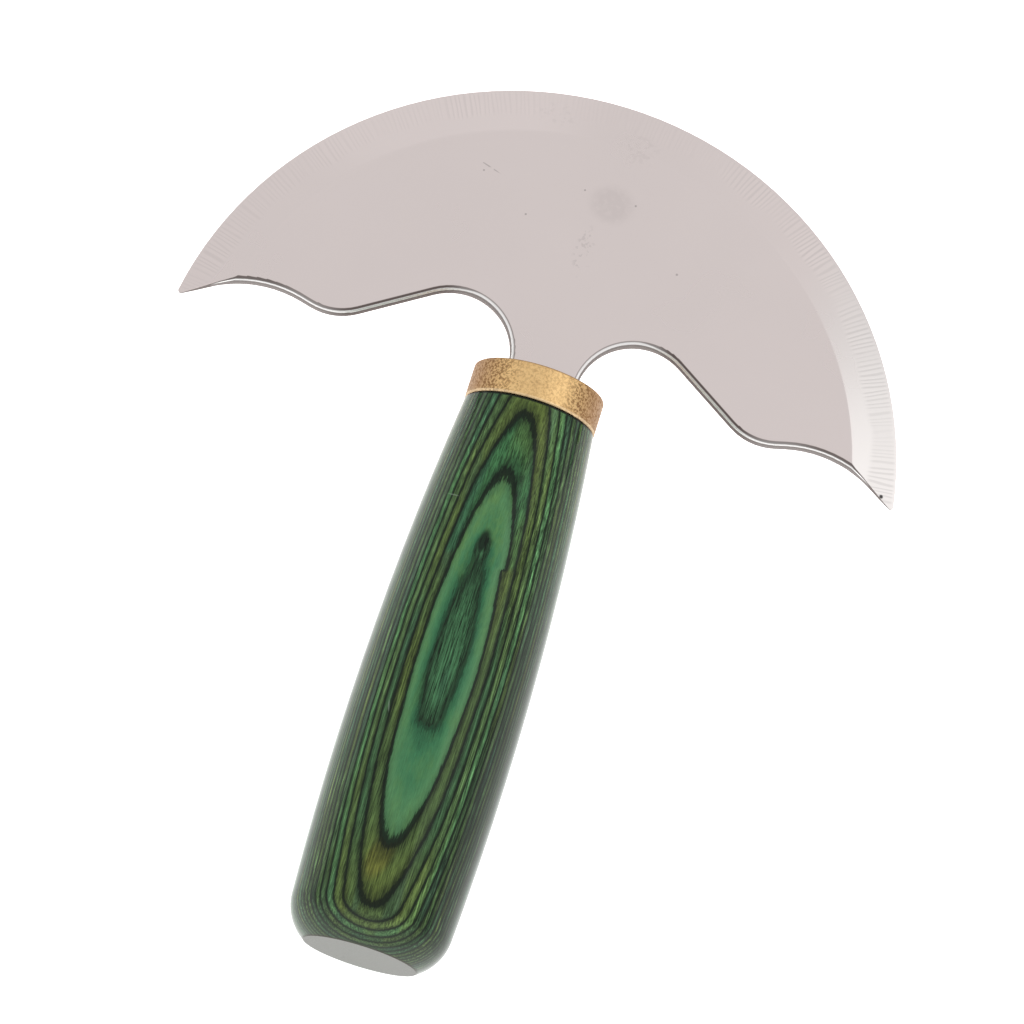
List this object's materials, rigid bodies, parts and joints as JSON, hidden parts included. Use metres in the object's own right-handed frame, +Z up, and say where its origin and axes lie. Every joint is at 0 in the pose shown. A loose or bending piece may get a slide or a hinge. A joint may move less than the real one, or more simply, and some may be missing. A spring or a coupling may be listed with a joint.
{
  "type": "leather round knife",
  "caption": "Round knife for cutting leather: a half-moon steel blade ground to one curved edge, a brass ferrule and a turned handle of laminated dyed wood.",
  "frame": {"origin": "under the middle of the knife's length and width, level with the underside of the handle's fullest place, on which the knife lies", "axes": "+Y along the handle towards the cutting edge, +X towards the blade's right point, +Z up, square to the blade's faces"},
  "size_m": [0.1306, 0.16, 0.03],
  "materials": {
    "blade_steel": "satin ground steel, polished smooth, with a brighter bevel",
    "ferrule_brass": "aged brass, lightly mottled",
    "tang_epoxy": "cured clear amber epoxy",
    "veneer_deep_green": "dyed veneer under clear gloss lacquer",
    "veneer_bright_green": "dyed veneer under clear gloss lacquer",
    "veneer_olive": "dyed veneer under clear gloss lacquer",
    "veneer_blue_green": "dyed veneer under clear gloss lacquer",
    "veneer_sage": "dyed veneer under clear gloss lacquer",
    "veneer_dark": "dyed veneer under clear gloss lacquer"
  },
  "bodies": {
    "root": {"blade": "blade_steel", "ferrule": "ferrule_brass", "tang_epoxy": "tang_epoxy", "veneer_01": "veneer_deep_green", "veneer_02": "veneer_bright_green", "veneer_03": "veneer_olive", "veneer_04": "veneer_blue_green", "veneer_05": "veneer_sage", "veneer_06": "veneer_sage", "veneer_07": "veneer_olive", "veneer_08": "veneer_blue_green", "veneer_09": "veneer_deep_green", "veneer_10": "veneer_dark", "veneer_11": "veneer_deep_green", "veneer_12": "veneer_olive", "veneer_13": "veneer_blue_green", "veneer_14": "veneer_sage", "veneer_15": "veneer_bright_green", "veneer_16": "veneer_dark", "veneer_17": "veneer_deep_green", "veneer_18": "veneer_olive", "veneer_19": "veneer_blue_green", "veneer_20": "veneer_sage", "veneer_21": "veneer_bright_green", "veneer_22": "veneer_dark", "veneer_23": "veneer_deep_green", "veneer_24": "veneer_olive", "veneer_25": "veneer_blue_green", "veneer_26": "veneer_sage", "veneer_27": "veneer_bright_green", "veneer_28": "veneer_dark", "veneer_29": "veneer_deep_green", "veneer_30": "veneer_olive", "veneer_31": "veneer_blue_green", "veneer_32": "veneer_sage", "veneer_33": "veneer_bright_green", "veneer_34": "veneer_dark", "veneer_35": "veneer_deep_green", "veneer_36": "veneer_olive", "veneer_37": "veneer_blue_green", "veneer_38": "veneer_sage", "veneer_39": "veneer_bright_green", "veneer_40": "veneer_dark"}
  },
  "joints": []
}
